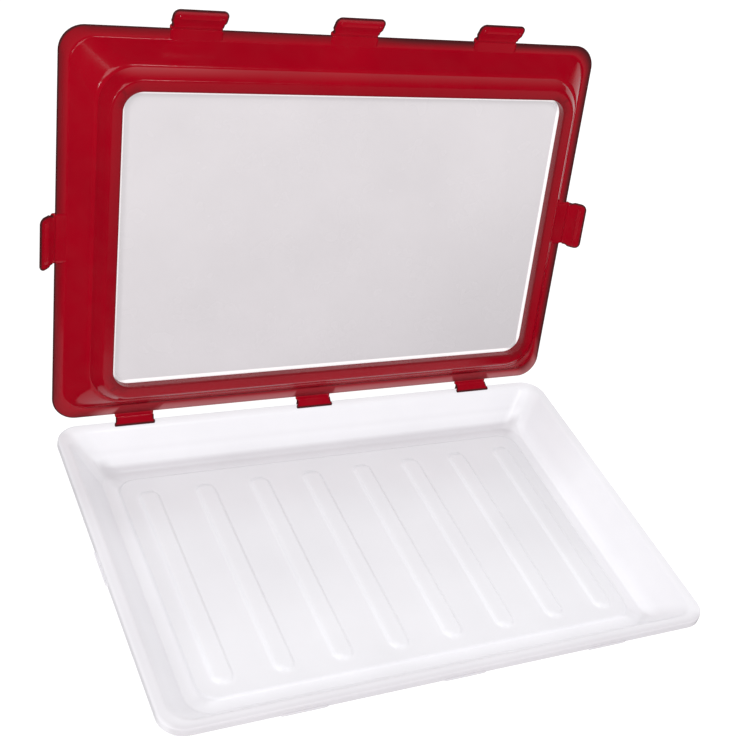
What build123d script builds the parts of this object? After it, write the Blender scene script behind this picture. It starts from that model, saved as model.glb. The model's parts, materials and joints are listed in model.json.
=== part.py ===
"""Stretch-film food tray: open serving tray, framed elastic-film lid and eight rim clips.

Millimetres, +Z up, +Y to the back. The lid and its clips are drawn shut on the tray, swung to
the open pose, and everything is then moved so the origin is under the middle of the open object.
"""
import os
from build123d import *

os.makedirs("parts", exist_ok=True)

# Whole object
width = 300.0            # outer rim, left to right
depth = 210.0            # outer rim, front to back
rim_height = 22.0        # top of the tray's rim above the table
rim_radius = 12.5
wall = 1.4
lid_open_deg = 101.5     # from shut to leaning back behind the tray

# Tray
rim_land = 5.0           # flat top of the rim
skirt = 4.5              # height of the turned-down edge
bowl_radius = 12.0       # corners of every crease inside the tray
slope_in = 13.0          # where the shallow slope meets the steep one, measured from the rim's edge
slope_drop = 10.0
steep_in = 18.3
steep_drop = 16.6
gutter_in = 20.4
gutter_drop = 19.5
panel_in = 26.8          # raised floor panel inside the gutter
panel_rise = 1.1
rib_count = 8
rib_pitch = 31.0
rib_width = 11.5
rib_end_room = 36.5      # from the rim's edge to a rib's end, front and rear together twice this
rib_length = depth - 2 * rib_end_room
rib_rise = 1.2
rib_y = -1.5
catch_length = 24.0
catch_out = 0.8
catch_tall = 1.2
foot_width = 3.6

# Lid
lid_gap = 1.8            # air between the tray's rim and the lid's rim, taken up by the rear hooks
lid_sheet = 1.6
lid_land = 5.5
lid_slope_in = 14.6
lid_slope_drop = 13.0
lid_slope_radius = 19.0  # corners at the slope's foot, softer than the rim's
seat_sheet = 1.5
window_in = 25.5         # opening in the frame's seat
ring_out = 15.6
ring_in = 26.0
ring_in_radius = 10.0
ring_face_drop = 19.6    # face of the clamp ring below the lid's rim
film_sheet = 0.8
film_in = 18.6
film_bead = 1.6
film_bead_rise = 0.5
part_gap = 0.1           # between pieces clamped on each other

# Clips
hinge_out = 1.7          # hinge line outside the rim's edge
hinge_up = 1.0           # hinge line above the tray's rim
pin_radius = 1.0
pin_fit = 0.06
clip_sheet = 1.2
clip_neck = 26.4
clip_wide = 28.0
clip_tip = 20.0
clip_reach = 11.0
ramp_in = 5.6            # ramp on the lid's rim beside each fold-over clip
ramp_tall = 0.9
hook_clear = 0.3
hook_in = 1.6
hook_sheet = 1.4
rear_neck = 20.8
rear_reach = 5.2         # rear hook lies this far over the rim
front_clip_from_end = 66.0
rear_hook_from_end = 45.4
rear_hook_shift = -1.5   # the three rear hooks sit this far to the left of even spacing
side_clip_y = 2.0        # side clips sit this far behind the middle
front_rest_deg = 36.0    # clip's lift out of the lid's plane as shown
side_rest_deg = 50.0

front_clip_x = width / 2 - front_clip_from_end
rear_hook_xs = [x + rear_hook_shift for x in (rear_hook_from_end - width / 2, 0,
                                              width / 2 - rear_hook_from_end)]
hinge_line = Axis((0, depth / 2 + hinge_out, rim_height + hinge_up), (1, 0, 0))


def bowl(levels):
    """Solid through rounded rectangles; each level is inset from the rim, height, corner radius."""
    with BuildPart() as solid:
        for inset, z, radius in levels:
            with BuildSketch(Plane.XY.offset(z)):
                RectangleRounded(width - 2 * inset, depth - 2 * inset, radius)
        loft(ruled=True)
    return solid.part


def slab(inset, z, tall, radius):
    """Rounded plate of one thickness."""
    with BuildPart() as solid:
        with BuildSketch(Plane.XY.offset(z)):
            RectangleRounded(width - 2 * inset, depth - 2 * inset, radius)
        extrude(amount=tall)
    return solid.part


# Tray
top = rim_height
floor_in = top - gutter_drop
panel_top = floor_in + panel_rise
under = floor_in - wall
rib_top = panel_top + rib_rise
rib_xs = [(i - (rib_count - 1) / 2) * rib_pitch for i in range(rib_count)]

outer_bowl = bowl([
    (rim_land - 1.2, top - wall, bowl_radius + 0.7),
    (slope_in - 1.2, top - slope_drop - 1.1, bowl_radius + 1.2),
    (steep_in - 1.3, top - steep_drop - 1.1, bowl_radius + 1.3),
    (gutter_in - 1.1, under, bowl_radius + 1.1),
])
inner_bowl = bowl([
    (rim_land, top, bowl_radius - 0.5),
    (slope_in, top - slope_drop, bowl_radius),
    (steep_in, top - steep_drop, bowl_radius),
    (gutter_in, floor_in, bowl_radius),
])

with BuildPart() as tray:
    add(slab(0, top - skirt, skirt, rim_radius))
    add(slab(wall, top - skirt, skirt - wall, rim_radius - wall), mode=Mode.SUBTRACT)
    catch_spots = [(x, -depth / 2, 0) for x in (-front_clip_x, 0, front_clip_x)]
    catch_spots += [(x, depth / 2, 0) for x in rear_hook_xs]
    catch_spots += [(-width / 2, side_clip_y, 90), (width / 2, side_clip_y, 90)]
    for x, y, turn in catch_spots:
        with BuildSketch(Plane.XY.offset(top - skirt)):
            with Locations(Location((x, y, 0), (0, 0, turn))):
                Rectangle(catch_length, 2 * catch_out)
        extrude(amount=catch_tall)
    add(outer_bowl)
    add(inner_bowl, mode=Mode.SUBTRACT)
    with BuildSketch(Plane.XY):
        RectangleRounded(width - 2 * (gutter_in - 0.3), depth - 2 * (gutter_in - 0.3), bowl_radius)
        inner = gutter_in - 0.3 + foot_width
        RectangleRounded(width - 2 * inner, depth - 2 * inner, bowl_radius - foot_width,
                         mode=Mode.SUBTRACT)
    extrude(amount=under)
    add(bowl([(panel_in, floor_in - 0.2, 11.0), (panel_in + 1.2, panel_top, 10.2)]))
    add(slab(panel_in + 1.6, under, panel_rise, 9.6), mode=Mode.SUBTRACT)
    with BuildSketch(Plane.XY.offset(panel_top - 0.2)):
        with Locations([(x, rib_y) for x in rib_xs]):
            SlotOverall(rib_length, rib_width, rotation=90)
    extrude(amount=rib_rise + 0.2, taper=25)
    with BuildSketch(Plane.XY.offset(under + panel_rise)):
        with Locations([(x, rib_y) for x in rib_xs]):
            SlotOverall(rib_length - 3.6, rib_width - 3.6, rotation=90)
    extrude(amount=rib_rise, mode=Mode.SUBTRACT)

# Lid, drawn shut
lid_low = top + lid_gap
lid_top = lid_low + lid_sheet
seat_low = lid_low - lid_slope_drop
seat_top = seat_low + seat_sheet
film_low = seat_low - part_gap - film_sheet
ring_face = lid_low - ring_face_drop
grade = lid_slope_drop / (lid_slope_in - lid_land)
sheet_up = 2.45          # sloping sheet measured straight up

clip_spots = [
    ("clip_front_left", -front_clip_x, -depth / 2 - hinge_out, 0, front_rest_deg),
    ("clip_front_mid", 0, -depth / 2 - hinge_out, 0, front_rest_deg),
    ("clip_front_right", front_clip_x, -depth / 2 - hinge_out, 0, front_rest_deg),
    ("clip_side_left", -width / 2 - hinge_out, side_clip_y, -90, side_rest_deg),
    ("clip_side_right", width / 2 + hinge_out, side_clip_y, 90, side_rest_deg),
]
hook_names = ("hook_rear_left", "hook_rear_mid", "hook_rear_right")
hook_spots = [(name, x, depth / 2 + hinge_out, 180) for name, x in zip(hook_names, rear_hook_xs)]
tab_low = top + hinge_up + 0.75

with BuildPart() as ramp:
    with BuildSketch(Plane.YZ.offset(-clip_neck / 2)):
        with BuildLine():
            Polyline((hinge_out, lid_low + 0.1), (hinge_out, lid_low - ramp_tall),
                     (hinge_out + ramp_in, lid_low - 0.1), (hinge_out + ramp_in, lid_low + 0.1),
                     (hinge_out, lid_low + 0.1))
        make_face()
    extrude(amount=clip_neck)

with BuildPart() as lid_frame:
    add(slab(0, lid_low, lid_sheet, rim_radius))
    add(bowl([(lid_land, lid_low, bowl_radius), (lid_slope_in, seat_low, lid_slope_radius)]))
    add(bowl([
        (lid_land + (sheet_up - lid_sheet) / grade, lid_top, bowl_radius - 2.5),
        (lid_land + (lid_slope_drop - seat_sheet + sheet_up) / grade, seat_top, lid_slope_radius - 2.5),
    ]), mode=Mode.SUBTRACT)
    add(slab(window_in, seat_low, seat_sheet, ring_in_radius + 0.5), mode=Mode.SUBTRACT)
    for name, x, y, turn, *rest in clip_spots + hook_spots:
        neck = clip_neck if rest else rear_neck
        with BuildSketch(Plane.XY.offset(tab_low)):
            with Locations(Location((x, y, 0), (0, 0, turn))):
                Rectangle(neck, 2 * (hinge_out + 0.8), align=(Align.CENTER, Align.MIN))
        extrude(amount=lid_top - tab_low)
        if rest:
            add(ramp.part.moved(Location((x, y, 0), (0, 0, turn))))
        along = (90, 0, 0) if abs(turn) == 90 else (0, 90, 0)
        with Locations(Location((x, y, top + hinge_up), along)):
            Cylinder(pin_radius + pin_fit, neck + 8, mode=Mode.SUBTRACT)

with BuildPart() as film_clamp_ring:
    add(bowl([
        (ring_out, seat_low - part_gap, 18.5),
        (ring_out + 1.0, seat_low - 2.2, 18.0),
        (ring_out + 3.3, ring_face + 1.2, 17.0),
        (ring_out + 4.6, ring_face, 16.1),
    ]))
    add(slab(film_in - 0.2, film_low - part_gap, film_sheet + 2 * part_gap, 15.8), mode=Mode.SUBTRACT)
    add(slab(ring_in, ring_face, ring_face_drop, ring_in_radius), mode=Mode.SUBTRACT)

with BuildPart() as stretch_film:
    add(slab(film_in, film_low, film_sheet, 15.6))
    add(slab(ring_in + 0.3, film_low - film_bead_rise, film_bead_rise, ring_in_radius - 0.3))
    add(slab(ring_in + 0.3 + film_bead, film_low - film_bead_rise, film_bead_rise,
             ring_in_radius - 0.3 - film_bead), mode=Mode.SUBTRACT)

# Clip, hanging shut from its hinge line.
# Local frame: hinge line is the X axis, outward is -Y, the tray's rim is at +Y.
hook_top = -(hinge_up + skirt + hook_clear)
half = clip_sheet / 2

with BuildPart() as clip:
    with BuildSketch(Plane.YZ.offset(-clip_wide / 2)):
        with BuildLine():
            Polyline((half, 0), (half, hook_top), (half + hook_in - 0.4, hook_top),
                     (half + hook_in, hook_top - 0.5), (half + 0.5, hook_top - hook_sheet),
                     (0.1, -8.8), (-0.8, -clip_reach + 0.2), (-1.6, -clip_reach),
                     (-1.6, -clip_reach + 0.7), (-half - 0.3, -8.6), (-half, -6.8), (-half, 0),
                     (half, 0))
        make_face()
    extrude(amount=clip_wide)
    with BuildSketch(Plane.XZ.offset(-5)):
        with BuildLine():
            Polyline((-clip_neck / 2, 1), (-clip_neck / 2, -2.0), (-clip_wide / 2, -3.2),
                     (-clip_wide / 2, -7.8), (-clip_wide / 2 + 1.1, -9.8), (-clip_tip / 2, -clip_reach),
                     (clip_tip / 2, -clip_reach), (clip_wide / 2 - 1.1, -9.8), (clip_wide / 2, -7.8),
                     (clip_wide / 2, -3.2), (clip_neck / 2, -2.0), (clip_neck / 2, 1),
                     (-clip_neck / 2, 1))
        make_face()
    extrude(amount=10, mode=Mode.INTERSECT)
    with Locations(Location((0, 0, 0), (0, 90, 0))):
        Cylinder(pin_radius, clip_neck)

with BuildPart() as rear_hook:
    add(clip.part)
    with BuildSketch(Plane.YZ.offset(-clip_wide / 2)):
        with BuildLine():
            Polyline((0, -0.75), (hinge_out + rear_reach, -0.75), (hinge_out + rear_reach, -0.15),
                     (hinge_out + rear_reach - 0.5, 0.45), (0, 0.45), (0, -0.75))
        make_face()
    extrude(amount=clip_wide)
    with BuildSketch(Plane.XY.offset(2)):
        with BuildLine():
            far = hinge_out + rear_reach
            Polyline((-rear_neck / 2, -4), (-rear_neck / 2, far - 3.0), (-rear_neck / 2 - 0.6, far - 2.0),
                     (-rear_neck / 2 - 0.6, far - 0.8), (-rear_neck / 2, far), (rear_neck / 2, far),
                     (rear_neck / 2 + 0.6, far - 0.8), (rear_neck / 2 + 0.6, far - 2.0),
                     (rear_neck / 2, far - 3.0), (rear_neck / 2, -4), (-rear_neck / 2, -4))
        make_face()
    extrude(amount=-20, mode=Mode.INTERSECT)


def swing(part):
    """Turn a piece of the shut lid to the open pose."""
    return part.rotate(hinge_line, -lid_open_deg)


pieces = {
    "tray": tray.part,
    "lid_frame": swing(lid_frame.part),
    "film_clamp_ring": swing(film_clamp_ring.part),
    "stretch_film": swing(stretch_film.part),
}
for name, x, y, turn, rest in clip_spots:
    raised = clip.part.rotate(Axis.X, -(90 - rest))
    placed = raised.moved(Location((x, y, top + hinge_up), (0, 0, turn)))
    pieces[name] = swing(placed)
for name, x, y, turn in hook_spots:
    pieces[name] = rear_hook.part.moved(Location((x, y, top + hinge_up), (0, 0, turn)))

boxes = [part.bounding_box() for part in pieces.values()]
front = min(box.min.Y for box in boxes)
back = max(box.max.Y for box in boxes)
to_middle = Location((0, -(front + back) / 2, 0))
print(f"moved in Y {to_middle.position.Y:.4f}")

for name, part in pieces.items():
    part = part.moved(to_middle)
    part.label = name
    export_step(part, f"parts/{name}.step")
    size = part.bounding_box().size
    print(f"{name:18s} solids {len(part.solids())} volume {part.volume:9.0f}"
          f" size {size.X:.1f} {size.Y:.1f} {size.Z:.1f}")
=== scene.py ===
"""Looks for the stretch-film food tray: smooth moulded surfaces, plastics and studio.

Shapes are worked out in millimetres with the lid drawn shut on the tray, +Z up and +Y to the
back, as in the CAD drawing. Lid pieces are then swung to the open pose about the hinge line.
"""
import json
import math

import bpy
import numpy as np
from bpy.props import FloatProperty, FloatVectorProperty, PointerProperty
from mathutils import Matrix, Vector


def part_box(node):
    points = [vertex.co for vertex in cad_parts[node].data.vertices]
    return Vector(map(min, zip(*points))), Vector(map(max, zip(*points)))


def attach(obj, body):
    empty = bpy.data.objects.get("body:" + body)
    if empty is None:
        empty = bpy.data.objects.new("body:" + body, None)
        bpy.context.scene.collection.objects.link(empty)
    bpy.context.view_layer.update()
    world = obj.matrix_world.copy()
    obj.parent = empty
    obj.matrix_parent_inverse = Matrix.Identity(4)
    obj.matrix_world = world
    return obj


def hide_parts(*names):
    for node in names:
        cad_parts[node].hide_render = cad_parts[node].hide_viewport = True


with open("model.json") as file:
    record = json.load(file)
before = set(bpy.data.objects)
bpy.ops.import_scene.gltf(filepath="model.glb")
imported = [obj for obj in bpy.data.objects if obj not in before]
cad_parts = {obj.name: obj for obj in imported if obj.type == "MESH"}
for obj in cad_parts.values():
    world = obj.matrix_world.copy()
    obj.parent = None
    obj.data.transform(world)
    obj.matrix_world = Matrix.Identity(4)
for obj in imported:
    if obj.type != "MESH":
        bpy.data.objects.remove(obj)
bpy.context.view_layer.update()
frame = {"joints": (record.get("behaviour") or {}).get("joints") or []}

bl_info = {
    "name": "Stretch-film food tray",
    "version": (1, 0, 0),
    "blender": (4, 5, 0),
    "location": "View3D > Sidebar > Food tray",
    "description": "Makes the moulded tray, the framed film lid, its clips and a plain studio",
    "category": "Add Mesh",
}

MM = 0.001
TRAY_LOW, TRAY_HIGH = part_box("tray")
MIDDLE_Y = (TRAY_LOW.y + TRAY_HIGH.y) / 2 / MM      # the drawing's Y = 0 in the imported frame
JOINTS = {joint["name"]: joint for joint in frame["joints"]}
HINGE = np.array(JOINTS["lid_hinge"]["pos_m"]) / MM
OPEN_ANGLE = math.radians(JOINTS["lid_hinge"]["range_deg"][1])
HINGE_OUT = 1.7                     # clip hinge lines outside the rim's edge
HINGE_UP = 1.0                      # and above the tray's rim
RIM_RADIUS = 12.5
RIB_COUNT = 8
RIB_SHIFT = 1.5                     # ribs lie this far in front of the tray's middle
LID_GAP = 1.8                       # air between the rims of the tray and of the shut lid
SEAT_DROP = 13.0                    # underside of the film's seat below the lid's rim
FACE_DROP = 19.6                    # face of the clamp ring below the lid's rim
FILM_IN = 18.6                      # cut edge of the film inside the rim's edge
FRONT_CLIP_XS = (-84.0, 0.0, 84.0)
HOOK_XS = (-106.1, -1.5, 103.1)
SIDE_CLIP_Y = 2.0
CLIP_TAB, HOOK_TAB = 26.4, 20.8     # widths of the lips that carry clips and hooks
SHADE_LOW, LIGHT_HIGH = 0.76, 1.18    # range of the tray's painted tone, 1 being even


# Sizes and colours a user may change

class TraySizes(bpy.types.PropertyGroup):
    """Outer sizes of the tray and its ribs."""
    width: FloatProperty(name="Width", description="Rim, left to right", default=0.300, unit="LENGTH")
    depth: FloatProperty(name="Depth", description="Rim, front to back", default=0.210, unit="LENGTH")
    rim_height: FloatProperty(name="Rim height", description="Top of the rim above the table",
                              default=0.022, unit="LENGTH")
    rib_pitch: FloatProperty(name="Rib pitch", description="Distance between neighbouring ribs",
                             default=0.031, unit="LENGTH")
    rib_length: FloatProperty(name="Rib length", description="Length of a rib over its round ends",
                              default=0.1375, unit="LENGTH")
    rib_width: FloatProperty(name="Rib width", description="Width of a rib at the floor",
                             default=0.0118, unit="LENGTH")
    rib_rise: FloatProperty(name="Rib rise", description="Height of a rib above the floor panel",
                            default=0.0012, unit="LENGTH")


class ClipSizes(bpy.types.PropertyGroup):
    """Sizes of the fold-over clips."""
    neck: FloatProperty(name="Neck", description="Width of the clip at its root", default=0.0264,
                        unit="LENGTH")
    wide: FloatProperty(name="Widest", description="Width of the clip's grip", default=0.028,
                        unit="LENGTH")
    tip: FloatProperty(name="Tip", description="Width of the straight part of the tip",
                       default=0.020, unit="LENGTH")
    reach: FloatProperty(name="Reach", description="From the hinge line to the tip", default=0.011,
                         unit="LENGTH")
    sheet: FloatProperty(name="Sheet", description="Thickness of the clip", default=0.0012,
                         unit="LENGTH")


class Finishes(bpy.types.PropertyGroup):
    """Colours of the three plastics, with the lid's painted shade and painted reflection."""
    tray_white: FloatVectorProperty(name="Tray", description="Milky tray plastic", subtype="COLOR",
                                    size=4, default=(0.815, 0.808, 0.838, 1.0))
    lid_red: FloatVectorProperty(name="Lid", description="Polished red of the lid and clips",
                                 subtype="COLOR", size=4, default=(0.30, 0.0004, 0.008, 1.0))
    # Painted shade: the deeper red painted at the lid's cut edges and creases.
    lid_edge_shade: FloatVectorProperty(name="Lid edge", description="Deeper red at the cut edges",
                                  subtype="COLOR", size=4, default=(0.06, 0.0, 0.002, 1.0))
    # Painted reflection: the paler red painted where reflected light falls on the lid.
    lid_reflection: FloatVectorProperty(name="Lid glow", description="Paler red where stray light gathers",
                                  subtype="COLOR", size=4, default=(0.74, 0.27, 0.28, 1.0))
    film_pale: FloatVectorProperty(name="Film", description="Milky elastic film", subtype="COLOR",
                                   size=4, default=(0.620, 0.587, 0.604, 1.0))


class StudioSetup(bpy.types.PropertyGroup):
    """Camera place and the lights' strength."""
    camera_at: FloatVectorProperty(name="Camera", description="Camera position", subtype="XYZ",
                                   unit="LENGTH", size=3, default=(-0.30885, -0.49466, 0.52411))
    camera_turn: FloatVectorProperty(name="Camera turn", description="Yaw to the right, pitch and roll",
                                     subtype="EULER", unit="ROTATION", size=3,
                                     default=(0.66943, -0.62081, 0.32184))
    camera_shift: FloatVectorProperty(name="Camera shift", description="Off-axis framing of the picture",
                                      size=2, default=(-0.20989, 0.05603))
    lens: FloatProperty(name="Lens", description="Focal length", default=68.21, unit="CAMERA")
    sky: FloatProperty(name="Sky", description="Strength of the even white light", default=0.87)


class FoodTray(bpy.types.PropertyGroup):
    """All settings of the food tray."""
    tray: PointerProperty(type=TraySizes, name="Tray", description="Tray sizes")
    clips: PointerProperty(type=ClipSizes, name="Clips", description="Clip sizes")
    finishes: PointerProperty(type=Finishes, name="Finishes", description="Colours")
    studio: PointerProperty(type=StudioSetup, name="Studio", description="Camera and light")


# Shape mathematics

def soften(points, bends, closed, steps=6, support=0.35):
    """Profile with rounded corners, from rows of numbers that bend together.

    Each corner P between A (the bend's length back) and B (the same length ahead) becomes the
    quadratic curve (1-t)^2 A + 2t(1-t) P + t^2 B. One more point each side holds the flats flat.
    """
    points = np.asarray(points, float)
    bends = np.asarray(bends, float)[:, None]
    before, after = np.roll(points, 1, 0), np.roll(points, -1, 0)
    if not closed:
        first, last = points[:1], points[-1:]
        points, before, after, bends = points[1:-1], before[1:-1], after[1:-1], bends[1:-1]
    back, ahead = before - points, after - points
    back_long = np.linalg.norm(back[:, :2], axis=1)[:, None]
    ahead_long = np.linalg.norm(ahead[:, :2], axis=1)[:, None]
    room = np.minimum(back_long, ahead_long)
    cut = np.minimum(bends, 0.42 * room)
    hold = cut + np.minimum(support, 0.06 * room)
    start, end = points + back * cut / back_long, points + ahead * cut / ahead_long
    t = np.linspace(0, 1, steps + 1)[None, :, None]
    curve = (1 - t) ** 2 * start[:, None] + 2 * t * (1 - t) * points[:, None] + t ** 2 * end[:, None]
    outer = points + back * hold / back_long
    inner = points + ahead * hold / ahead_long
    line = np.concatenate([outer[:, None], curve, inner[:, None]], 1).reshape(-1, points.shape[1])
    return line if closed else np.concatenate([first, line, last])


def corner_grid(run_x, run_y, corner):
    """Grid over a rounded rectangle, free of its size.

    Straight rows lie at run_x and run_y, from -1 to 1. In a corner cell, (a, b) from 0 to 1 goes
    to the quarter disc (a sqrt(1 - b^2/2), b sqrt(1 - a^2/2)). Returns the share of the straight
    half-size and the share of the corner radius, for x and for y, and the rim's order.
    """
    turn = np.arange(1, corner + 1) / corner
    zeros_x, zeros_y = np.zeros(len(run_x)), np.zeros(len(run_y))
    ones = np.ones(corner)
    along_x = np.concatenate([-ones, run_x, ones])
    past_x = np.concatenate([-turn[::-1], zeros_x, turn])
    along_y = np.concatenate([-ones, run_y, ones])
    past_y = np.concatenate([-turn[::-1], zeros_y, turn])
    ax, ay = np.meshgrid(along_x, along_y)
    a, b = np.meshgrid(past_x, past_y)
    cx, cy = a * np.sqrt(1 - b ** 2 / 2), b * np.sqrt(1 - a ** 2 / 2)
    rows, columns = ax.shape
    order = np.arange(rows * columns).reshape(rows, columns)
    rim = np.concatenate([order[0], order[1:, -1], order[-1, -2::-1], order[-2:0:-1, 0]])
    return ax, ay, cx, cy, order, rim


def run_between(places, reach):
    """Straight rows at the places that lie within the reach, from -1 to 1, with one at each end."""
    kept = places[np.abs(places) < reach - 0.2]
    return np.unique(np.round(np.concatenate([kept, [-reach, reach]]), 4)) / reach


def swept(levels, grid, width, depth):
    """Points of a profile carried round a rounded rectangle: row = profile point, column = rim point.

    A level (inset, z, radius) has x = ax (width/2 - inset - radius) + cx radius, and y likewise.
    """
    ax, ay, cx, cy, _, rim = grid
    inset, z, radius = (levels[:, k][:, None] for k in range(3))
    x = ax.ravel()[rim] * (width / 2 - inset - radius) + cx.ravel()[rim] * radius
    y = ay.ravel()[rim] * (depth / 2 - inset - radius) + cy.ravel()[rim] * radius
    return np.stack([x, y, np.broadcast_to(z, x.shape)], -1)


def quads(rows, columns, close_rows=False, close_columns=True):
    """Faces between neighbouring rows and columns of a numbered grid of points."""
    index = np.arange(rows * columns).reshape(rows, columns)
    if close_columns:
        index = np.concatenate([index, index[:, :1]], 1)
    if close_rows:
        index = np.concatenate([index, index[:1]], 0)
    return np.stack([index[:-1, :-1], index[:-1, 1:], index[1:, 1:], index[1:, :-1]], -1).reshape(-1, 4)


def outward(points, faces):
    """The same faces, turned round if the closed surface holds a negative volume."""
    a, b, c, d = (points[faces[:, k]] for k in range(4))
    volume = np.einsum("ij,ij->i", a, np.cross(b, c)) + np.einsum("ij,ij->i", a, np.cross(c, d))
    return faces if volume.sum() > 0 else faces[:, ::-1]


def ring_surface(levels, grid, width, depth):
    """Closed ring: a closed profile carried round a rounded rectangle."""
    points = swept(levels, grid, width, depth)
    faces = quads(points.shape[0], points.shape[1], close_rows=True)
    points = points.reshape(-1, 3)
    return points, outward(points, faces)


def plate_surface(levels, grid, width, depth, face_lift, back_lift):
    """Closed plate: an open profile carried round, with a grid closing each end.

    The first level's end is lifted by face_lift(x, y) and the last level's by back_lift(x, y);
    both are nothing at the edge.
    """
    ax, ay, cx, cy, order, rim = grid
    sides = swept(levels, grid, width, depth)
    count, around = sides.shape[:2]
    points, faces = [sides.reshape(-1, 3)], [quads(count, around)]
    total = count * around
    inside = np.setdiff1d(order.ravel(), rim)
    for level, first, lift in ((levels[0], 0, face_lift), (levels[-1], (count - 1) * around, back_lift)):
        inset, z, radius = level
        x = (ax * (width / 2 - inset - radius) + cx * radius).ravel()[inside]
        y = (ay * (depth / 2 - inset - radius) + cy * radius).ravel()[inside]
        number = np.empty(order.size, int)
        number[rim] = first + np.arange(around)
        number[inside] = total + np.arange(len(inside))
        total += len(inside)
        points.append(np.stack([x, y, z + lift(x, y)], -1))
        cap = number[quads(*order.shape, close_columns=False)]
        faces.append(cap[:, ::-1] if first == 0 else cap)
    points, faces = np.concatenate(points), np.concatenate(faces)
    return points, outward(points, faces)


def bar_surface(rings):
    """Bar through equal closed rings of points; each end is closed across its width.

    The outermost quad at each side of an end has a doubled corner, and the mesh's check drops it.
    """
    rows, columns = rings.shape[:2]
    faces = [quads(rows, columns)]
    half = columns // 2
    near = np.arange(half)
    far = (columns - near) % columns
    near_next, far_next = near + 1, (columns - near - 1) % columns
    cap = np.stack([near, far, far_next, near_next], -1)
    faces.append(cap)
    faces.append(cap[:, ::-1] + (rows - 1) * columns)
    points = rings.reshape(-1, 3)
    return points, outward(points, np.concatenate(faces))


def fan_bar(rings):
    """Bar through rings of any shape; each end closes on its middle point by way of a half-size ring.

    The quads at the middle span two sides each, so an odd number of sides leaves one small gap.
    """
    rows, columns = rings.shape[:2]
    faces = [quads(rows, columns)]
    middles = rings[[0, -1]].mean(1)
    index = np.arange(columns)
    after = np.roll(index, -1)
    total = rows * columns
    points = np.concatenate([rings.reshape(-1, 3), middles])
    half_ring = 0.5 * (rings[[0, -1]] + middles[:, None])
    points = np.concatenate([points, half_ring.reshape(-1, 3)])
    for end, first in ((0, 0), (1, (rows - 1) * columns)):
        inner = total + 2 + end * columns
        strip = np.stack([first + index, inner + index, inner + after, first + after], -1)
        pairs = np.arange(0, columns - columns % 2, 2)
        lid = np.stack([inner + pairs, np.full(len(pairs), total + end), inner + (pairs + 2) % columns,
                        inner + (pairs + 1) % columns], -1)
        faces += [strip, lid] if end == 0 else [strip[:, ::-1], lid[:, ::-1]]
    return points, outward(points, np.concatenate(faces))


def capped_bar(section, middle, half, samples, sharpness, pinch):
    """Bar of one section along x, whose ends close in on the middle.

    The section shrinks by pinch (1 - sharpness d)^2 at the share d of the half length from an end.
    """
    place = np.linspace(-1, 1, samples)
    pull = 1 - np.clip(1 - (1 - np.abs(place)) * sharpness, 0, 1) ** 2 * pinch
    ring = middle + (section - middle)[None] * pull[:, None, None]
    ring_x = np.broadcast_to((half * place)[:, None], ring.shape[:2])
    return fan_bar(np.concatenate([ring_x[..., None], ring], -1))


def flat_ring(samples=9, flats=14):
    """Unit flat bar with round edges, as (side, along the flat, out of it) for a closed ring.

    A point is x = side (half width - half thickness) + along half thickness, offset = out half
    thickness: half circles at both edges and straight runs between.
    """
    turn = np.linspace(-math.pi / 2, math.pi / 2, samples)
    run = np.linspace(1, -1, flats + 2)[1:-1]
    side = np.concatenate([np.ones(samples), run, -np.ones(samples), -run])
    along = np.concatenate([np.cos(turn), 0 * run, -np.cos(turn), 0 * run])
    out = np.concatenate([np.sin(turn), 0 * run + 1, -np.sin(turn), 0 * run - 1])
    shift = (samples - 1) // 2
    return [np.roll(v, -shift) for v in (side, along, out)]


def smooth_step(value):
    """0 below 0, 1 above 1, and 3v^2 - 2v^3 between."""
    value = np.clip(value, 0, 1)
    return value * value * (3 - 2 * value)


def joined(parts):
    """Several surfaces as one list of points and one of faces."""
    points, faces, start = [], [], 0
    for part_points, part_faces in parts:
        points.append(part_points)
        faces.append(part_faces + start)
        start += len(part_points)
    return np.concatenate(points), np.concatenate(faces)


def turned(points, degrees, x=0.0, y=0.0, z=0.0):
    """Points turned about the vertical and moved."""
    angle = math.radians(degrees)
    c, s = math.cos(angle), math.sin(angle)
    px, py, pz = points.T
    return np.stack([px * c - py * s + x, px * s + py * c + y, pz + z], -1)


def tilted(points, degrees):
    """Points turned about the x axis."""
    angle = math.radians(degrees)
    c, s = math.cos(angle), math.sin(angle)
    x, y, z = points.T
    return np.stack([x, y * c - z * s, y * s + z * c], -1)


def to_frame(points):
    """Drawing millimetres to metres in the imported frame, for pieces that stay on the tray."""
    return (points + (0, MIDDLE_Y, 0)) * MM


def swung(points):
    """Drawing millimetres of the shut lid to metres of the open one: turned about the hinge line."""
    x, y, z = ((points + (0, MIDDLE_Y, 0)) - HINGE).T
    c, s = math.cos(-OPEN_ANGLE), math.sin(-OPEN_ANGLE)
    return (np.stack([x, y * c - z * s, y * s + z * c], -1) + HINGE) * MM


def make_piece(name, points, faces, material, body, stands_for=None):
    """A mesh object from points in metres, with its finish, riding on its body."""
    mesh = bpy.data.meshes.new(name)
    mesh.vertices.add(len(points))
    mesh.vertices.foreach_set("co", np.ascontiguousarray(points, np.float32).ravel())
    mesh.loops.add(faces.size)
    mesh.loops.foreach_set("vertex_index", np.ascontiguousarray(faces, np.int32).ravel())
    mesh.polygons.add(len(faces))
    mesh.polygons.foreach_set("loop_start", np.arange(0, faces.size, 4, dtype=np.int32))
    mesh.update(calc_edges=True)
    mesh.shade_smooth()
    mesh.validate()
    mesh.materials.append(material)
    piece = bpy.data.objects.new(name, mesh)
    bpy.context.scene.collection.objects.link(piece)
    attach(piece, body)
    piece.visible_diffuse = name == "tray_skin"     # no red light is scattered on to the tray
    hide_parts(stands_for or name.replace("_skin", ""))
    return piece


def paint(piece, name, values):
    """Keeps one number per point in a named attribute that a material reads."""
    layer = piece.data.attributes.new(name, "FLOAT", "POINT")
    layer.data.foreach_set("value", np.ascontiguousarray(values, np.float32))


# Plastics

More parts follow.
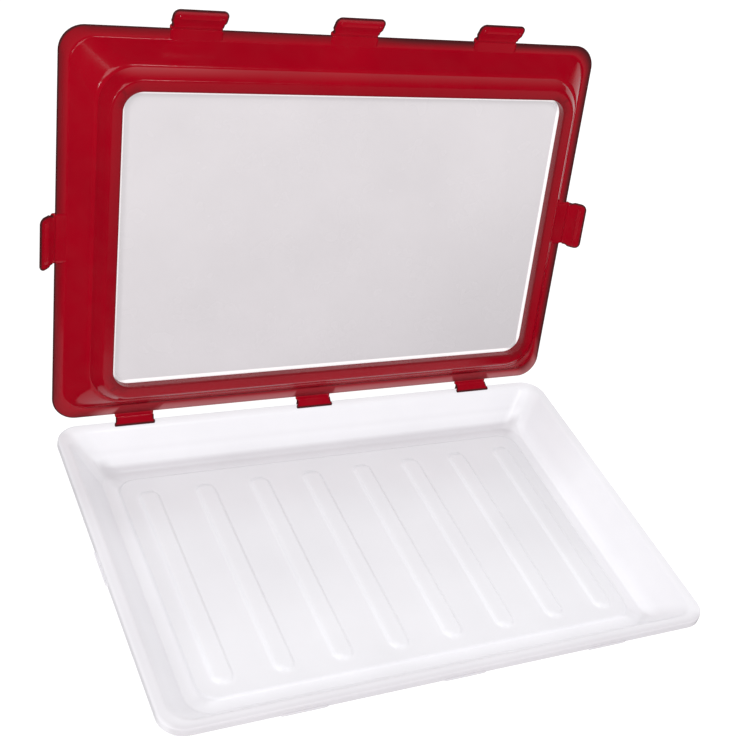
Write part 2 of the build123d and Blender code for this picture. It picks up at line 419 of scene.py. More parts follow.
class Nodes:
    """Short way to add and join nodes in one material. Noises run over object coordinates."""

    def __init__(self, name):
        self.material = bpy.data.materials.new(name)
        self.material.use_nodes = True
        self.tree = self.material.node_tree
        self.shader = self.tree.nodes["Principled BSDF"]
        self.place = self.add("ShaderNodeTexCoord").outputs["Object"]

    def add(self, kind, **settings):
        node = self.tree.nodes.new(kind)
        for key, value in settings.items():
            setattr(node, key, value)
        return node

    def join(self, output, target):
        self.tree.links.new(output, target)

    def noise(self, scale, detail=3.0, rough=0.5):
        node = self.add("ShaderNodeTexNoise")
        self.join(self.place, node.inputs["Vector"])
        node.inputs["Scale"].default_value = scale
        node.inputs["Detail"].default_value = detail
        node.inputs["Roughness"].default_value = rough
        return node.outputs["Fac"]

    def spread(self, value, low, high):
        """A noise's usual range, 0.3 to 0.7, carried to low and high."""
        node = self.add("ShaderNodeMapRange")
        self.join(value, node.inputs["Value"])
        node.inputs["From Min"].default_value = 0.3
        node.inputs["From Max"].default_value = 0.7
        node.inputs["To Min"].default_value = low
        node.inputs["To Max"].default_value = high
        return node.outputs["Result"]

    def blend(self, factor, first, second, way="MIX"):
        """Mix of two colours, each a value or an output, by a factor from 0 to 1."""
        node = self.add("ShaderNodeMix", data_type="RGBA", blend_type=way)
        for key, value in (("Factor_Float", factor), ("A_Color", first), ("B_Color", second)):
            socket = next(s for s in node.inputs if s.identifier == key)
            if isinstance(value, bpy.types.NodeSocket):
                self.join(value, socket)
            else:
                socket.default_value = value
        return next(s for s in node.outputs if s.type == "RGBA")

    def attribute(self, name):
        return self.add("ShaderNodeAttribute", attribute_name=name).outputs["Fac"]

    def bump(self, height, strength, distance):
        node = self.add("ShaderNodeBump")
        self.join(height, node.inputs["Height"])
        node.inputs["Strength"].default_value = strength
        node.inputs["Distance"].default_value = distance
        self.join(node.outputs["Normal"], self.shader.inputs["Normal"])

    def set(self, **values):
        for key, value in values.items():
            self.shader.inputs[key.replace("_", " ")].default_value = value


def tinted(colour, share):
    """The colour made lighter or darker by a share of itself."""
    return [*(min(1.0, c * share) for c in colour[:3]), 1.0]


def milky_plastic(finishes):
    """Milky polypropylene: soft white, faintly clouded, with painted light and shade, a frosted floor and a
    thin smooth coat.
    """
    made = Nodes("milky_tray_plastic")
    # Painted shade at the dark end: the tray white greyed; painted light at the pale end.
    thin = [c * s for c, s in zip(finishes.tray_white, (0.77, 0.745, 0.755))]
    body = made.blend(made.attribute("light_and_shade"), [*thin, 1.0], tinted(finishes.tray_white, LIGHT_HIGH))
    floored = made.blend(made.attribute("frost"), body, (0.93, 0.93, 0.93, 1.0), "MULTIPLY")
    clouded = made.blend(1.0, floored, made.spread(made.noise(22.0, 4.0), 0.97, 1.01), "MULTIPLY")
    made.join(clouded, made.shader.inputs["Base Color"])
    made.join(made.spread(made.noise(30.0, 1.0), 0.28, 0.36), made.shader.inputs["Roughness"])
    made.set(IOR=1.45, Coat_Weight=0.1, Coat_Roughness=0.2)
    return made.material


def red_plastic(finishes):
    """Polished deep red with faint flow clouding and slight peel.

    Where one attribute is set, a paler red is painted as reflected light. Towards the cut edges a
    deeper red is painted as shade, and the gloss dulls by the square of the edge's share.
    """
    made = Nodes("polished_red_plastic")
    cloud = made.spread(made.noise(14.0, 3.0), 0.0, 1.0)
    body = made.blend(cloud, tinted(finishes.lid_red, 0.92), tinted(finishes.lid_red, 1.05))
    # Painted reflection: a paler red where the attribute read here is set.
    lit = made.blend(made.attribute("reflection"), body, list(finishes.lid_reflection))
    # Painted shade: a deeper red towards the cut edges, by the attribute read here.
    edge = made.attribute("edge")
    made.join(made.blend(edge, lit, list(finishes.lid_edge_shade)), made.shader.inputs["Base Color"])
    cut = made.add("ShaderNodeMath", operation="MULTIPLY")
    made.join(edge, cut.inputs[0])
    made.join(edge, cut.inputs[1])
    dull = made.add("ShaderNodeMath", operation="MULTIPLY_ADD")
    made.join(cut.outputs[0], dull.inputs[0])
    dull.inputs[1].default_value = 0.6
    made.join(made.spread(made.noise(90.0, 2.0), 0.11, 0.19), dull.inputs[2])
    made.join(dull.outputs[0], made.shader.inputs["Roughness"])
    made.bump(made.noise(60.0, 2.0), 0.04, 0.0005)
    made.set(IOR=1.36)
    return made.material


def film_plastic(finishes):
    """Milky elastic film: pale, faintly clouded, with stretch ripples that bend its gloss."""
    made = Nodes("milky_elastic_film")
    cloud = made.spread(made.noise(9.0, 4.0, 0.6), 0.0, 1.0)
    body = made.blend(cloud, tinted(finishes.film_pale, 0.95), tinted(finishes.film_pale, 1.04))
    deep = made.blend(made.attribute("shade"), body, tinted(finishes.film_pale, 0.885))
    colour = made.blend(made.attribute("bead"), deep, (0.93, 0.88, 0.885, 1.0))
    made.join(colour, made.shader.inputs["Base Color"])
    made.join(made.spread(made.noise(60.0, 2.0), 0.2, 0.3), made.shader.inputs["Roughness"])
    made.bump(made.noise(30.0, 2.0), 0.08, 0.001)
    made.set(IOR=1.4)
    return made.material


def plastic(name):
    """The named plastic, made once."""
    makers = {"milky_tray_plastic": milky_plastic, "polished_red_plastic": red_plastic,
              "milky_elastic_film": film_plastic}
    return bpy.data.materials.get(name) or makers[name](bpy.context.scene.food_tray.finishes)


# Pieces

def frame_grid(width_runs=25, depth_runs=17, corner=8):
    """Rim points for a ring: even straight runs and smooth corners."""
    return corner_grid(np.linspace(-1, 1, width_runs), np.linspace(-1, 1, depth_runs), corner)


def rim_size(context):
    """Width, depth and height of the tray's rim in millimetres."""
    sizes = context.scene.food_tray.tray
    return sizes.width / MM, sizes.depth / MM, sizes.rim_height / MM


def box_inset(points, width, depth):
    """How far each point lies inside the box around the rim."""
    return np.minimum(width / 2 - np.abs(points[:, 0]), depth / 2 - np.abs(points[:, 1]))


def rim_inset(points, width, depth):
    """How far each point lies inside the rim's rounded outline."""
    x = np.abs(points[:, 0]) - (width / 2 - RIM_RADIUS)
    y = np.abs(points[:, 1]) - (depth / 2 - RIM_RADIUS)
    return RIM_RADIUS - np.hypot(np.maximum(x, 0), np.maximum(y, 0)) - np.minimum(np.maximum(x, y), 0)


class FOODTRAY_OT_tray(bpy.types.Operator):
    """Make the milky tray with its ribbed floor and its catch ledges."""
    bl_idname = "food_tray.make_tray"
    bl_label = "Make tray"

    def execute(self, context):
        sizes = context.scene.food_tray.tray
        width, depth, top = rim_size(context)
        pitch, end = sizes.rib_pitch / MM, sizes.rib_length / MM / 2
        half, rise = sizes.rib_width / MM / 2, sizes.rib_rise / MM
        cap_inset, cap_radius = 29.5, 6.5
        skirt, wall = 4.5, 1.4          # drop of the rim's turned-down edge, and the plastic's thickness
        reach_x = width / 2 - cap_inset - cap_radius
        reach_y = depth / 2 - cap_inset - cap_radius

        # Rows of the floor lie close at the ribs' flanks and round ends, and wide between.
        steps = np.linspace(-1, 1, 9) * 1.3
        edges = np.concatenate([-half + 1.1 + steps, half - 1.1 + steps, [0.0, -half - 0.8, half + 0.8]])
        rib_x = (np.arange(RIB_COUNT) - (RIB_COUNT - 1) / 2) * pitch
        gaps = rib_x[:-1, None] + pitch / 2 + [[-4, 0, 4]]
        run_x = run_between(np.concatenate([(rib_x[:, None] + edges).ravel(), gaps.ravel()]), reach_x)
        rib_end = end - np.linspace(-1, half + 1.5, 16)
        rib_runs = np.linspace(-end + 10, end - 10, 15)
        run_y = run_between(np.concatenate([rib_end, rib_runs, -rib_end]), reach_y)
        grid = corner_grid(run_x, run_y, 8)

        def from_rib(x, y):
            """Offset from the nearest rib's middle line: across it and past its end."""
            last = (RIB_COUNT - 1) / 2
            number = np.clip(np.round(x / pitch + last), 0, RIB_COUNT - 1) - last
            along = y + RIB_SHIFT
            return x - number * pitch, along - np.clip(along, half - end, end - half)

        def rib_height(x, y, narrower):
            """Smooth step of the distance to the nearest rib's middle line."""
            return rise * smooth_step((half - narrower - np.hypot(*from_rib(x, y))) / 2.0)

        profile = [
            (cap_inset, 3.6, cap_radius), (28.0, 3.6, 10.2), (26.8, 2.5, 11.0), (20.4, 2.5, 12.0),
            (18.3, 5.4, 12.0), (13.0, 12.0, 12.0), (5.0, top, 11.5), (0.0, top, RIM_RADIUS),
            (0.0, top - skirt, RIM_RADIUS), (wall, top - skirt, 11.1), (wall, top - wall, 11.1),
            (3.8, top - wall, 12.7), (11.8, 10.9, 13.2), (17.0, 4.3, 13.3), (19.3, 1.1, 13.1),
            (20.1, 1.1, 12.0), (20.1, 0.0, 12.0), (23.7, 0.0, 8.4), (23.7, 1.1, 8.4),
            (28.4, 1.1, 9.6), (28.4, 2.2, 9.6), (cap_inset, 2.2, cap_radius)]
        bends = [0, 0.8, 0.9, 1.2, 1.3, 2.2, 2.0, 1.3, 0.3, 0.3, 0.5, 0.9, 1.5, 1.2, 0.4, 0.2, 0.3,
                 0.3, 0.2, 0.4, 0.4, 0]
        levels = soften(profile, bends, closed=False)
        shell = plate_surface(levels, grid, width, depth,
                              lambda x, y: rib_height(x, y, 0.0), lambda x, y: rib_height(x, y, 1.4))
        frost = smooth_step((box_inset(shell[0], width, depth) - 26.5) / 1.5)
        parts = [shell]
        spots = [(x, -depth / 2, 0) for x in FRONT_CLIP_XS]
        spots += [(x, depth / 2, 180) for x in HOOK_XS]
        spots += [(-width / 2, SIDE_CLIP_Y, -90), (width / 2, SIDE_CLIP_Y, 90)]
        parts += [catch_ledge(x, y, turn, top) for x, y, turn in spots]
        points, faces = joined(parts)
        piece = make_piece("tray_skin", to_frame(points), faces, plastic("milky_tray_plastic"),
                           "tray", "tray")
        paint(piece, "frost", np.concatenate([frost, np.zeros(len(points) - len(frost))]))
        # Painted highlights along the ribs' flanks that face the light, added to the painted light and
        # shade.
        across, past = from_rib(points[:, 0], points[:, 1])
        away = np.hypot(across, past)
        lit = np.clip(-(0.9 * across + 0.8 * past) / np.maximum(away, 0.1), 0, 1)
        flank = np.exp(-((away - half + 0.8) / 1.2) ** 2) * (1 + 0.5 * smooth_step(-points[:, 1] / 60.0))
        tone = tray_light_and_shade(points, width, depth) + (0.06 * lit + 0.015) * flank
        paint(piece, "light_and_shade", np.clip((tone - SHADE_LOW) / (LIGHT_HIGH - SHADE_LOW), 0, 1))
        return {"FINISHED"}


def tray_light_and_shade(points, width, depth):
    """How light or shaded the tray is painted, 1 being even: by side and by inset from the rim's outline.

    Painted light makes the right and rear slopes and the panel's foot paler; painted shade greys the
    front rim and the gutter along the rear, with a grey line on the rim at the rear right. The floor is
    painted lighter towards the front and shaded towards the rear.
    """
    x, y = points[:, 0], points[:, 1]
    inset = rim_inset(points, width, depth)
    beside = smooth_step((depth / 2 - np.abs(y) - width / 2 + np.abs(x)) / 8.0 + 0.5)
    back = smooth_step((y - 15.0) / 45.0)
    floor = 1.0 - 0.055 * back + 0.075 * smooth_step((5.0 - y) / 60.0)
    front = np.interp(inset, [0, 1, 3, 5, 10, 20, 24, 27], [0.8, 0.84, 0.93, 0.98, 1.09, 1.09, 1.06, 1.14])
    rear = np.interp(inset, [5, 9, 13, 16, 17, 19, 24, 27], [1.0, 1.06, 1.0, 1.06, 1.04, 0.8, 0.8, 0.9])
    left = np.interp(inset, [0, 2, 5, 9, 16, 23, 27], [0.98, 0.93, 0.965, 1.05, 1.025, 1.02, 1.07])
    right = np.interp(inset, [0, 3, 9, 16, 18, 20, 21, 27], [1.0, 1.02, 1.07, 1.07, 1.13, 1.14, 1.04, 1.04])
    line = 0.2 * smooth_step((1.3 - inset) / 1.0)
    ends = np.where(x < 0, left * (1 - 0.085 * back), right * (0.995 - (0.075 + line) * back))
    long = np.where(y < 0, front, rear)
    wall = ends * beside + long * (1 - beside)
    return wall + (floor - wall) * smooth_step((inset - 27.2) / 1.6)


def catch_ledge(x, y, turn, top):
    """Small rounded ledge outside the rim's turned-down edge that a clip's hook grips.

    A half-round section 0.8 mm out and 1.2 mm tall runs 24 mm along the edge and shrinks at its ends.
    """
    side, along, out = flat_ring(7, 4)
    place = np.linspace(-1, 1, 25)
    shrink = np.sqrt(np.clip(1 - np.abs(place) ** 16, 0.02, 1))[:, None]
    reach = 0.8 * shrink
    ring_y = -(side * 0.4 + along * 0.5) * reach - 0.05
    ring_z = (out * 0.6) * shrink + top - 3.9
    ring_x = np.broadcast_to(12.0 * place[:, None], ring_y.shape)
    points, faces = bar_surface(np.stack([ring_x, ring_y, ring_z], -1))
    return turned(points, turn, x, y), faces


class FOODTRAY_OT_lid_frame(bpy.types.Operator):
    """Make the red picture-frame moulding of the lid with a tab for every clip and hook."""
    bl_idname = "food_tray.make_lid_frame"
    bl_label = "Make lid frame"

    def execute(self, context):
        width, depth, top = rim_size(context)
        low = top + LID_GAP
        seat = low - SEAT_DROP
        profile = [
            (0.0, low, RIM_RADIUS), (5.5, low, 12.0), (14.6, seat, 19.0),
            (25.5, seat, 10.5), (25.5, seat + 1.5, 10.5), (15.27, seat + 1.5, 16.5),
            (6.1, low + 1.6, 9.5), (0.0, low + 1.6, RIM_RADIUS)]
        bends = [0.7, 0.6, 1.4, 0.3, 0.3, 1.2, 1.6, 0.7]
        levels = soften(profile, bends, closed=True)
        shell = ring_surface(levels, frame_grid(111), width, depth)
        # Painted shade at the frame's edges and painted reflection along its foot.
        edge, reflection = lid_shade_and_reflection(shell[0], width, depth, low)
        parts = [shell]
        for x, y, turn, neck in tab_spots(width, depth):
            parts.append(hinge_tab(x, y, turn, neck, low))
            if neck == CLIP_TAB:
                parts.append(clip_ramp(x, y, turn, neck, low))
        points, faces = joined(parts)
        piece = make_piece("lid_frame_skin", swung(points), faces, plastic("polished_red_plastic"),
                           "lid", "lid_frame")
        tabs = np.zeros(len(points) - len(edge))
        paint(piece, "edge", np.concatenate([edge, tabs]))
        paint(piece, "reflection", np.concatenate([reflection, tabs]))
        return {"FINISHED"}


def lid_shade_and_reflection(points, width, depth, low):
    """How far painted shade darkens the lid frame's red at its edges, rear crease and hooks' places,
    and how far painted reflection pales it along its foot.

    The foot is the underside of the rear rim, without its left corner and the hooks' places.
    """
    inset = rim_inset(points, width, depth)
    x, y, z = points.T
    rear = smooth_step((y - 88.0) / 10.0) * smooth_step((x + 134.0) / 14.0) * (z < low + 0.9)
    # Painted shade: deeper red at the cut edges, and a narrower band under the rear rim.
    cut = smooth_step((1.4 + 0.7 * smooth_step(x / 60.0) - inset) / 1.1) * (1 - rear)
    cut = cut + 0.6 * rear * smooth_step((2.6 - inset) / 0.9)
    # Painted shade along the rear crease.
    crease = 0.6 * rear * np.exp(-((inset - 6.0) / 1.0) ** 2)
    # Painted shade at the hooks' places on the rear rim.
    away = np.abs(x[:, None] - np.array(HOOK_XS)).min(1)
    hooked = rear * smooth_step((12.6 - away) / 1.4)
    edge = np.maximum(np.maximum(cut, crease), 0.4 * hooked * smooth_step((3.8 - inset) / 0.9))
    # Painted reflection: a paler red along the foot, kept off the hooks' places.
    return edge, rear * smooth_step((4.1 - inset) / 0.9) * (1 - hooked)


def tab_spots(width, depth):
    """Where each clip or hook hangs from the lid: x, y, turn and width of the tab."""
    front, back = -depth / 2 - HINGE_OUT, depth / 2 + HINGE_OUT
    side = width / 2 + HINGE_OUT
    spots = [(x, front, 0, CLIP_TAB) for x in FRONT_CLIP_XS]
    spots += [(-side, SIDE_CLIP_Y, -90, CLIP_TAB), (side, SIDE_CLIP_Y, 90, CLIP_TAB)]
    spots += [(x, back, 180, HOOK_TAB) for x in HOOK_XS]
    return spots


def hinge_tab(x, y, turn, neck, low):
    """Lip that carries a clip: a flat bar with a round nose over the hinge line, sunk in the rim.

    The section is a closed profile in y and z with a hollow for the clip's round root; it is
    carried along x and its corners are rounded at the ends.
    """
    root = low - 0.8
    nose = np.radians(np.linspace(178, 62, 9))
    hollow = np.stack([1.08 * np.cos(nose), root + 1.08 * np.sin(nose)], -1)
    hollow = hollow[hollow[:, 1] > low - 0.05]
    section = np.concatenate([[(-0.6, low + 1.3), (0.2, low + 1.6), (3.6, low + 1.6), (3.6, low + 0.05)],
                              hollow[::-1], [(-0.9, low + 0.35)]])
    points, faces = capped_bar(section, np.array([1.6, low + 0.8]), neck / 2, 21, 14, 0.35)
    return turned(points, turn, x, y), faces


def clip_ramp(x, y, turn, neck, low):
    """Shallow ramp on the underside of the lid's rim beside a fold-over clip.

    A wedge section in y and z, 0.9 mm tall at the clip and thin inwards, carried along x.
    """
    section = soften([(1.7, low + 0.1, 0), (1.7, low - 0.88, 0), (7.2, low - 0.12, 0), (7.2, low + 0.1, 0)],
                     [0.05, 0.3, 0.1, 0.05], closed=True, steps=3)[:, :2]
    points, faces = capped_bar(section, np.array([4.0, low]), neck / 2, 21, 20, 0.3)
    return turned(points, turn, x, y), faces


class FOODTRAY_OT_clamp_ring(bpy.types.Operator):
    """Make the rounded red ring that clamps the film to the frame."""
    bl_idname = "food_tray.make_clamp_ring"
    bl_label = "Make clamp ring"

    def execute(self, context):
        width, depth, top = rim_size(context)
        seat, face = top + LID_GAP - SEAT_DROP, top + LID_GAP - FACE_DROP
        profile = [
            (15.6, seat - 0.1, 18.5), (16.6, seat - 2.2, 18.0), (18.9, face + 1.2, 17.0),
            (20.2, face, 16.1), (26.0, face, 10.0), (26.0, seat - 1.0, 10.0), (18.4, seat - 1.0, 15.8),
            (18.4, seat - 0.1, 15.8)]
        bends = [0.15, 0.8, 0.6, 0.9, 0.8, 0.1, 0.1, 0.1]
        levels = soften(profile, bends, closed=True)
        points, faces = ring_surface(levels, frame_grid(), width, depth)
        piece = make_piece("film_clamp_ring_skin", swung(points), faces,
                           plastic("polished_red_plastic"), "lid", "film_clamp_ring")
        inset = rim_inset(points, width, depth)
        x, y = points[:, 0], points[:, 1]
        outer = smooth_step((20.4 - inset) / 0.8)
        corner = smooth_step((width / 2 - 15.0 + x - np.maximum(0, depth / 2 + y)) / 8.0 + 0.5)
        left = smooth_step((-x - 120.0) / 10.0) * (1 - corner)
        # Painted shade: a deeper red over the ring's face, a dark line at its inner edge, and a darker
        # outer slope on the left.
        inner = 0.12 * (1 - outer) + 0.35 * smooth_step((inset - 24.4) / 1.2)
        paint(piece, "edge", inner + 0.12 * outer * left)
        # Painted reflection: a paler band on the ring's outer slope along its front side, fading to the
        # right.
        sunny = smooth_step((-y - 85.0) / 8.0) * smooth_step((x + 132.0) / 8.0)
        paint(piece, "reflection", (0.3 - 0.15 * smooth_step((x + 110.0) / 70.0)) * outer * sunny)
        return {"FINISHED"}


class FOODTRAY_OT_film(bpy.types.Operator):
    """Make the elastic film with its thicker border, stretched across the ring."""
    bl_idname = "food_tray.make_film"
    bl_label = "Make film"

    def execute(self, context):
        width, depth, top = rim_size(context)
        back = top + LID_GAP - SEAT_DROP - 0.1
        face = back - 0.8
        cap = 33.0
        profile = [
            (cap, face, 5.0), (28.1, face, 7.9), (27.7, face - 0.5, 8.3), (26.5, face - 0.5, 9.5),
            (26.2, face, 9.8), (FILM_IN, face, 15.6), (FILM_IN, back, 15.6), (cap, back, 5.0)]
        bends = [0, 0.25, 0.4, 0.4, 0.15, 0.1, 0.1, 0]
        levels = soften(profile, bends, closed=False)
        grid = frame_grid(61, 41)

        def ripple(x, y):
            """Faint stretch waves that fade out at the clamped edge."""
            room_x = 1 - (x / (width / 2 - cap)) ** 2
            room_y = 1 - (y / (depth / 2 - cap)) ** 2
            wave = np.sin(x / 17.0 + y / 41.0) * np.sin(y / 23.0 - x / 61.0)
            return 0.12 * wave * np.clip(4 * room_x, 0, 1) * np.clip(4 * room_y, 0, 1)

        points, faces = plate_surface(levels, grid, width, depth, ripple, ripple)
        piece = make_piece("stretch_film_skin", swung(points), faces, plastic("milky_elastic_film"),
                           "lid", "stretch_film")
        inset = box_inset(points, width, depth)
        paint(piece, "bead", smooth_step((28.3 - inset) / 0.5) * (points[:, 2] < face + 0.3))
        paint(piece, "shade", smooth_step((points[:, 0] / 125.0 + points[:, 1] / 80.0) / 2))
        return {"FINISHED"}


def clip_parts(sizes, wide=None):
    """The clip hanging shut, in its own frame: hinge line along x, outward -y.

    The plate is a flat bar carried down a line. Its half width is the neck's, grows to the grip by a
    smooth step just below the root and closes on the tip by a quarter superellipse
    (1 - t^2.2)^(1/2.2); the tip bends outwards. The bar thickens into its round root. The hook is a
    bar carried along x. Returns points, faces and how much painted shade each point takes near a cut
    edge. A width given here, half across, replaces both the neck's and the grip's.
    """
    neck = sizes.neck / MM / 2 if wide is None else wide
    wide = sizes.wide / MM / 2 if wide is None else wide
    corner = (sizes.wide - sizes.tip) / MM / 2
    reach, sheet = sizes.reach / MM, sizes.sheet / MM / 2
    tip_run = 3.8                   # length over which the sides close on the tip
    round_from = reach - tip_run
    down = np.concatenate([np.linspace(0.15, round_from, 18),
                           round_from + tip_run * np.sin(np.linspace(0.1, 1, 14) * math.pi / 2)])
    half_wide = neck + (wide - neck) * smooth_step((down - 1.6) / 2.2)
    rounding = np.clip((down - round_from) / tip_run, 0, 1)
    half_wide = half_wide - corner * (1 - np.clip(1 - rounding ** 2.2, 0, 1) ** (1 / 2.2))
    lean = -0.6 * np.clip((down - 3.4) / (reach - 3.4), 0, 1) ** 2
    thick = sheet * (1 - 0.3 * smooth_step((down - 7.0) / (reach - 7.0)))
    thick = thick + 0.22 * (1 - smooth_step(down / 2.2))
    thick = thick * np.sqrt(np.clip(1 - np.clip((down - reach + 0.45) / 0.5, 0, 1) ** 2, 0.05, 1))
    side, along, out = flat_ring(9, 30)
    ring_x = side * (half_wide - thick)[:, None] + along * thick[:, None]
    ring_y = out * thick[:, None] + lean[:, None]
    ring_z = np.broadcast_to(-down[:, None], ring_x.shape)
    plate = bar_surface(np.stack([ring_x, ring_y, ring_z], -1))
    # Painted shade: a deeper red along the plate's cut edges.
    near = np.minimum(half_wide[:, None] - np.abs(ring_x), reach - down[:, None])
    plate_edge = 1 - smooth_step((near - 0.35) / 1.1)
    turn = np.linspace(0, 2 * math.pi, 25)[:-1]
    place = np.linspace(-1, 1, 17)
    shrink = np.sqrt(np.clip(1 - np.abs(place) ** 30, 0.1, 1))[:, None]
    root = bar_surface(np.stack([
        np.broadcast_to(neck * place[:, None], (len(place), len(turn))),
        np.cos(turn) * shrink, np.sin(turn) * shrink], -1))
    section = soften([(-0.2, -5.85, 0), (0.6 + sheet, -5.85, 0), (1.2 + sheet, -6.6, 0),
                      (0.4 + sheet, -7.6, 0), (-0.2, -8.6, 0)],
                     [0.1, 0.1, 0.15, 0.3, 0.1], closed=True, steps=4)[:, :2]
    hook = capped_bar(section, np.array([0.2, -6.8]), wide - 2.6, 17, 10, 0.5)
    points, faces = joined([plate, root, hook])
    edge = np.concatenate([plate_edge.ravel(), np.zeros(len(points) - plate_edge.size)])
    return points, faces, edge


class FOODTRAY_OT_clips(bpy.types.Operator):
    """Make the five fold-over clips, each on its own joint."""
    bl_idname = "food_tray.make_clips"
    bl_label = "Make clips"

    def execute(self, context):
        width, depth, top = rim_size(context)
        names = ("clip_front_left", "clip_front_mid", "clip_front_right",
                 "clip_side_left", "clip_side_right")
        points, faces, edge = clip_parts(context.scene.food_tray.clips)
        for name, (x, y, turn, _) in zip(names, tab_spots(width, depth)):
            raised = JOINTS[name + "_fold"]["range_deg"][1]
            placed = turned(tilted(points, -raised), turn, x, y, top + HINGE_UP)
            piece = make_piece(name + "_skin", swung(placed), faces, plastic("polished_red_plastic"),
                               name, name)
            paint(piece, "edge", edge)
        return {"FINISHED"}


def hook_parts(sizes):
    """A rear hook in the clip's frame: a plain hanging flap and a plate that lies forward over the rim.

    The plate is a flat bar carried along y whose half width has a smooth step to two small ears at
    its front end. It leans a quarter of its run to the side, as the bars in the photograph do.
    """
    neck, ear, ear_from, far = HOOK_TAB / 2, 0.6, 3.9, 6.9
    end_run = 0.9                   # length over which the ears round off at the front end
    points, faces, edge = clip_parts(sizes, wide=neck - 0.2)
    forward = np.concatenate([np.linspace(-0.2, ear_from - 0.3, 6), np.linspace(ear_from, 6.0, 8),
                              far - end_run + end_run * np.sin(np.linspace(0.1, 1, 7) * math.pi / 2)])
    half_wide = neck + ear * smooth_step((forward - ear_from) / 0.9)
    rounding = np.clip((forward - far + end_run) / end_run, 0, 1)
    half_wide = half_wide - ear * (1 - np.sqrt(np.clip(1 - rounding ** 2, 0, 1)))
    thick = 0.6 * np.sqrt(np.clip(1 - (rounding * 0.93) ** 2, 0, 1))
    side, along, out = flat_ring(9, 30)
    ring_x = side * (half_wide - thick)[:, None] + along * thick[:, None]
    ring_z = out * thick[:, None] - 0.15
    ring_y = np.broadcast_to(forward[:, None], ring_x.shape)
    plate = bar_surface(np.stack([ring_x, ring_y, ring_z], -1))
    # Painted shade: a deeper red along the plate's cut edges.
    near = np.minimum(half_wide[:, None] - np.abs(ring_x), far - forward[:, None])
    plate_edge = 1 - smooth_step((near - 0.2) / 1.2)
    plate[0][:, 0] += 0.25 * np.maximum(plate[0][:, 1], 0)
    all_points, all_faces = joined([(points, faces), plate])
    return all_points, all_faces, np.concatenate([edge, plate_edge.ravel()])


class FOODTRAY_OT_hooks(bpy.types.Operator):
    """Make the three rear hooks on the tray's rim that carry the lid."""
    bl_idname = "food_tray.make_hooks"
    bl_label = "Make rear hooks"

    def execute(self, context):
        _, depth, top = rim_size(context)
        points, faces, edge = hook_parts(context.scene.food_tray.clips)
        for name, x in zip(("hook_rear_left", "hook_rear_mid", "hook_rear_right"), HOOK_XS):
            placed = turned(points, 180, x, depth / 2 + HINGE_OUT, top + HINGE_UP)
            piece = make_piece(name + "_skin", to_frame(placed), faces,
                               plastic("polished_red_plastic"), "tray", name)
            paint(piece, "edge", edge)
        return {"FINISHED"}


# Studio

def soft_lamp(name, place, target, size, power):
    """Square area lamp aimed at a point."""
    light = bpy.data.lights.new(name, "AREA")
    light.energy, light.size = power, size
    lamp = bpy.data.objects.new(name, light)
    bpy.context.scene.collection.objects.link(lamp)
    lamp.location = place
    lamp.visible_camera = False
    lamp.rotation_euler = (Vector(target) - Vector(place)).to_track_quat("-Z", "Y").to_euler()


# Name, place, target, size and power of each lamp: one wide key, two small ones for the glints on
# the lid's corners, and four weak cards that fill the lid's right side and foot.
LAMPS = (
    ("key_lamp", (-0.9, -1.1, 1.5), (0, 0, 0.05), 0.9, 8.8),
    ("glint_top", (0.25, -0.86, 1.25), (-0.1, 0, 0.2), 0.17, 2.2),
    ("glint_side", (-1.07, -0.92, 0.69), (-0.1, 0, 0.2), 0.17, 2.2),
    ("right_card", (0.75, 0.5, 0.12), (0.1, 0.1, 0.1), 0.7, 1.5),
    ("front_card", (0.25, -1.05, 0.09), (-0.05, 0.1, 0.2), 0.34, 0.12),
    ("far_card", (0.72, -1.05, 0.30), (0.05, 0.1, 0.2), 0.45, 0.18),
    ("low_card", (0.78, -0.8, 0.04), (0.14, 0, 0.16), 0.35, 0.1),
)


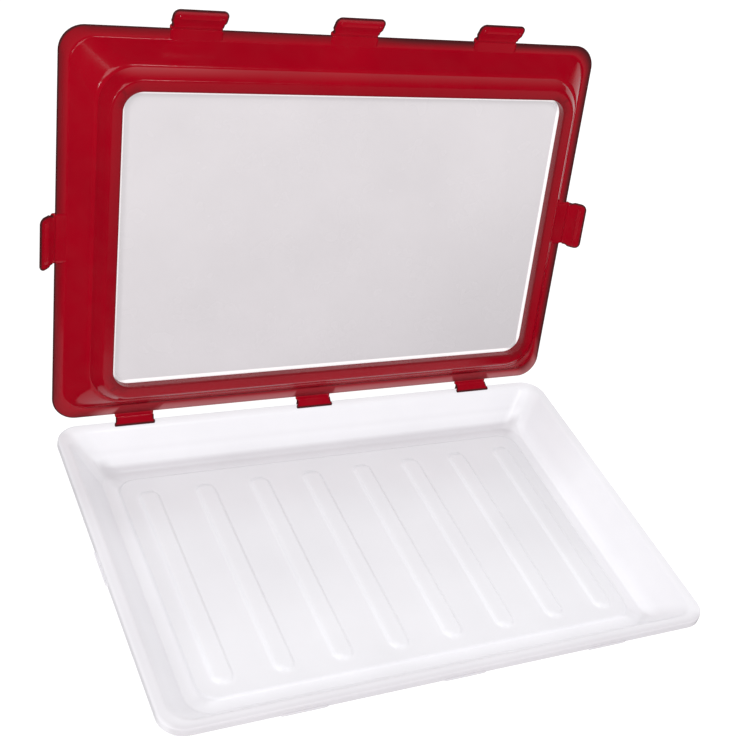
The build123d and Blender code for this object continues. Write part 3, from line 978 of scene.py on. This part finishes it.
class FOODTRAY_OT_studio(bpy.types.Operator):
    """Make the pale floor, the even sky, the soft lamps and the camera."""
    bl_idname = "food_tray.make_studio"
    bl_label = "Make studio"

    def execute(self, context):
        setup = context.scene.food_tray.studio
        mesh = bpy.data.meshes.new("floor")
        far = 6.0
        corners = [(-far, -far, 0), (far, -far, 0), (far, far, 0), (-far, far, 0)]
        mesh.from_pydata(corners, [], [(0, 1, 2, 3)])
        floor = bpy.data.objects.new("floor", mesh)
        context.scene.collection.objects.link(floor)
        floor.location.z = -0.0003      # a little under the part, so that no faces coincide
        floor.visible_glossy = False
        paper = Nodes("studio_paper")
        grain = paper.spread(paper.noise(3.0), 0.0, 1.0)
        tone = paper.blend(grain, (0.33, 0.33, 0.33, 1), (0.36, 0.36, 0.36, 1))
        paper.join(tone, paper.shader.inputs["Base Color"])
        paper.set(Roughness=0.7, IOR=1.3, Emission_Color=(1.0, 1.0, 1.0, 1.0), Emission_Strength=0.75)
        mesh.materials.append(paper.material)

        world = bpy.data.worlds.new("studio_sky")
        context.scene.world = world
        world.use_nodes = True
        sky = world.node_tree.nodes["Background"]
        sky.inputs["Color"].default_value = (1, 1, 1, 1)
        sky.inputs["Strength"].default_value = setup.sky
        world.cycles_visibility.glossy = False
        for lamp in LAMPS:
            soft_lamp(*lamp)

        data = bpy.data.cameras.new("camera")
        data.sensor_width = 36.0
        data.lens = setup.lens
        data.shift_x, data.shift_y = setup.camera_shift
        camera = bpy.data.objects.new("camera", data)
        context.scene.collection.objects.link(camera)
        yaw, pitch, roll = setup.camera_turn
        flat = math.cos(pitch)
        ahead = np.array([math.sin(yaw) * flat, math.cos(yaw) * flat, math.sin(pitch)])
        level = np.array([math.cos(yaw), -math.sin(yaw), 0.0])
        upright = np.cross(level, ahead)
        right = math.cos(roll) * level + math.sin(roll) * upright
        up = -math.sin(roll) * level + math.cos(roll) * upright
        turn = Matrix(np.stack([right, up, -ahead], 1).tolist()).to_4x4()
        camera.matrix_world = Matrix.Translation(Vector(setup.camera_at)) @ turn
        context.scene.camera = camera
        context.scene.view_settings.view_transform = "Standard"
        return {"FINISHED"}


class FOODTRAY_PT_panel(bpy.types.Panel):
    """Buttons for every piece and the settings they read."""
    bl_idname = "FOODTRAY_PT_panel"
    bl_label = "Food tray"
    bl_space_type = "VIEW_3D"
    bl_region_type = "UI"
    bl_category = "Food tray"

    def draw(self, context):
        settings = context.scene.food_tray
        for group in (settings.tray, settings.clips, settings.finishes, settings.studio):
            box = self.layout.box()
            for key in group.__annotations__:
                box.prop(group, key)
        for maker in MAKERS:
            self.layout.operator(maker.bl_idname)


MAKERS = (FOODTRAY_OT_tray, FOODTRAY_OT_lid_frame, FOODTRAY_OT_clamp_ring, FOODTRAY_OT_film,
          FOODTRAY_OT_clips, FOODTRAY_OT_hooks, FOODTRAY_OT_studio)
CLASSES = (TraySizes, ClipSizes, Finishes, StudioSetup, FoodTray, *MAKERS, FOODTRAY_PT_panel)


def register():
    for kind in CLASSES:
        bpy.utils.register_class(kind)
    bpy.types.Scene.food_tray = PointerProperty(type=FoodTray)


def unregister():
    del bpy.types.Scene.food_tray
    for kind in reversed(CLASSES):
        bpy.utils.unregister_class(kind)


def main():
    """Register everything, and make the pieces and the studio."""
    register()
    bpy.ops.food_tray.make_tray()
    bpy.ops.food_tray.make_lid_frame()
    bpy.ops.food_tray.make_clamp_ring()
    bpy.ops.food_tray.make_film()
    bpy.ops.food_tray.make_clips()
    bpy.ops.food_tray.make_hooks()
    bpy.ops.food_tray.make_studio()


if __name__ == "__main__":
    main()
